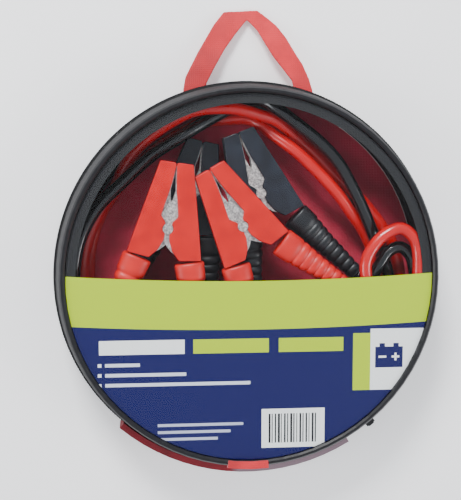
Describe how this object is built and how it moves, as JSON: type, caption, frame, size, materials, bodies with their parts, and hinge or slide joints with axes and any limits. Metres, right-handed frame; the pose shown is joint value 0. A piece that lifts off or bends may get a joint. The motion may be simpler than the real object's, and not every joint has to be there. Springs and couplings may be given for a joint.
{
  "type": "car jumper cable set in a zipped case",
  "caption": "Red and black battery jumper cables with insulated clamps, coiled in a round zipped case with a clear front and carry handle.",
  "frame": {"origin": "centre of the underside of the case's back panel", "axes": "+Z out of the clear front, +Y towards the carry handle, +X to the right seen from the front"},
  "size_m": [0.2764, 0.3325, 0.0531],
  "materials": {
    "crimson_fabric": "woven",
    "black_fabric": "woven",
    "zip_plastic": "satin",
    "piping": "satin",
    "clear_window": "clear flexible sheet",
    "card": "printed card",
    "red_webbing": "satin webbing",
    "hinge_fabric": "woven",
    "red_cover": "smooth moulded",
    "black_cover": "smooth moulded",
    "red_grip": "soft",
    "black_grip": "soft",
    "steel": "zinc plated",
    "red_cable": "glossy",
    "black_cable": "glossy"
  },
  "bodies": {
    "root": {"back_panel": "crimson_fabric", "back_piping": "piping", "back_wall": "black_fabric", "zip_tape_lower": "black_fabric", "zip_teeth_lower": "zip_plastic", "hinge_fabric_back": "hinge_fabric", "handle_strap": "red_webbing", "cable_black": "black_cable", "cable_red": "red_cable", "clamp_a_fixed_cover": "red_cover", "clamp_a_fixed_grip": "red_grip", "clamp_a_fixed_jaw": "steel", "clamp_a_rivet": "steel", "clamp_a_spring": "steel", "clamp_b_fixed_cover": "red_cover", "clamp_b_fixed_grip": "red_grip", "clamp_b_fixed_jaw": "steel", "clamp_b_rivet": "steel", "clamp_b_spring": "steel", "clamp_c_fixed_cover": "black_cover", "clamp_c_fixed_grip": "black_grip", "clamp_c_fixed_jaw": "steel", "clamp_c_rivet": "steel", "clamp_c_spring": "steel", "clamp_d_fixed_cover": "black_cover", "clamp_d_fixed_grip": "black_grip", "clamp_d_fixed_jaw": "steel", "clamp_d_rivet": "steel", "clamp_d_spring": "steel"},
    "lid": {"front_wall": "black_fabric", "zip_tape_upper": "black_fabric", "zip_teeth_upper": "zip_plastic", "window": "clear_window", "window_border": "black_fabric", "insert_card": "card", "piping_bead": "piping", "hinge_fabric_front": "hinge_fabric", "piping_joint_cover": "red_webbing"},
    "slider": {"zip_slider": "zip_plastic"},
    "pull_tab": {"zip_pull_tab": "zip_plastic"},
    "clamp_a_arm": {"clamp_a_moving_cover": "red_cover", "clamp_a_moving_grip": "red_grip", "clamp_a_moving_jaw": "steel"},
    "clamp_b_arm": {"clamp_b_moving_cover": "red_cover", "clamp_b_moving_grip": "red_grip", "clamp_b_moving_jaw": "steel"},
    "clamp_c_arm": {"clamp_c_moving_cover": "black_cover", "clamp_c_moving_grip": "black_grip", "clamp_c_moving_jaw": "steel"},
    "clamp_d_arm": {"clamp_d_moving_cover": "black_cover", "clamp_d_moving_grip": "black_grip", "clamp_d_moving_jaw": "steel"}
  },
  "joints": [
    {"name": "lid", "type": "hinge", "parent": "root", "child": "lid", "pos_m": [0, -0.1417, 0.026], "axis": [1, 0, 0], "range_deg": [0, 180]},
    {"name": "zip_slider", "type": "hinge", "parent": "root", "child": "slider", "pos_m": [0, 0, 0.026], "axis": [0, 0, 1], "range_deg": [0, 270]},
    {"name": "zip_pull_tab", "type": "hinge", "parent": "slider", "child": "pull_tab", "pos_m": [0.09109, -0.1105, 0.028], "axis": [-0.7716, -0.6361, 0], "range_deg": [0, 90]},
    {"name": "clamp_a_jaw", "type": "hinge", "parent": "root", "child": "clamp_a_arm", "pos_m": [-0.058, 0.0354, 0.0403], "axis": [0, 0, 1], "range_deg": [0, 25], "stiffness_Nm_per_rad": 2, "springref_deg": -34.38},
    {"name": "clamp_b_jaw", "type": "hinge", "parent": "root", "child": "clamp_b_arm", "pos_m": [-0.006, 0.0368, 0.0403], "axis": [0, 0, -1], "range_deg": [0, 25], "stiffness_Nm_per_rad": 2, "springref_deg": -34.38},
    {"name": "clamp_c_jaw", "type": "hinge", "parent": "root", "child": "clamp_c_arm", "pos_m": [-0.0412, 0.0515, 0.0093], "axis": [0, 0, -1], "range_deg": [0, 25], "stiffness_Nm_per_rad": 2, "springref_deg": -34.38},
    {"name": "clamp_d_jaw", "type": "hinge", "parent": "root", "child": "clamp_d_arm", "pos_m": [0.0086, 0.0592, 0.0248], "axis": [0, 0, 1], "range_deg": [0, 25], "stiffness_Nm_per_rad": 2, "springref_deg": -34.38}
  ]
}
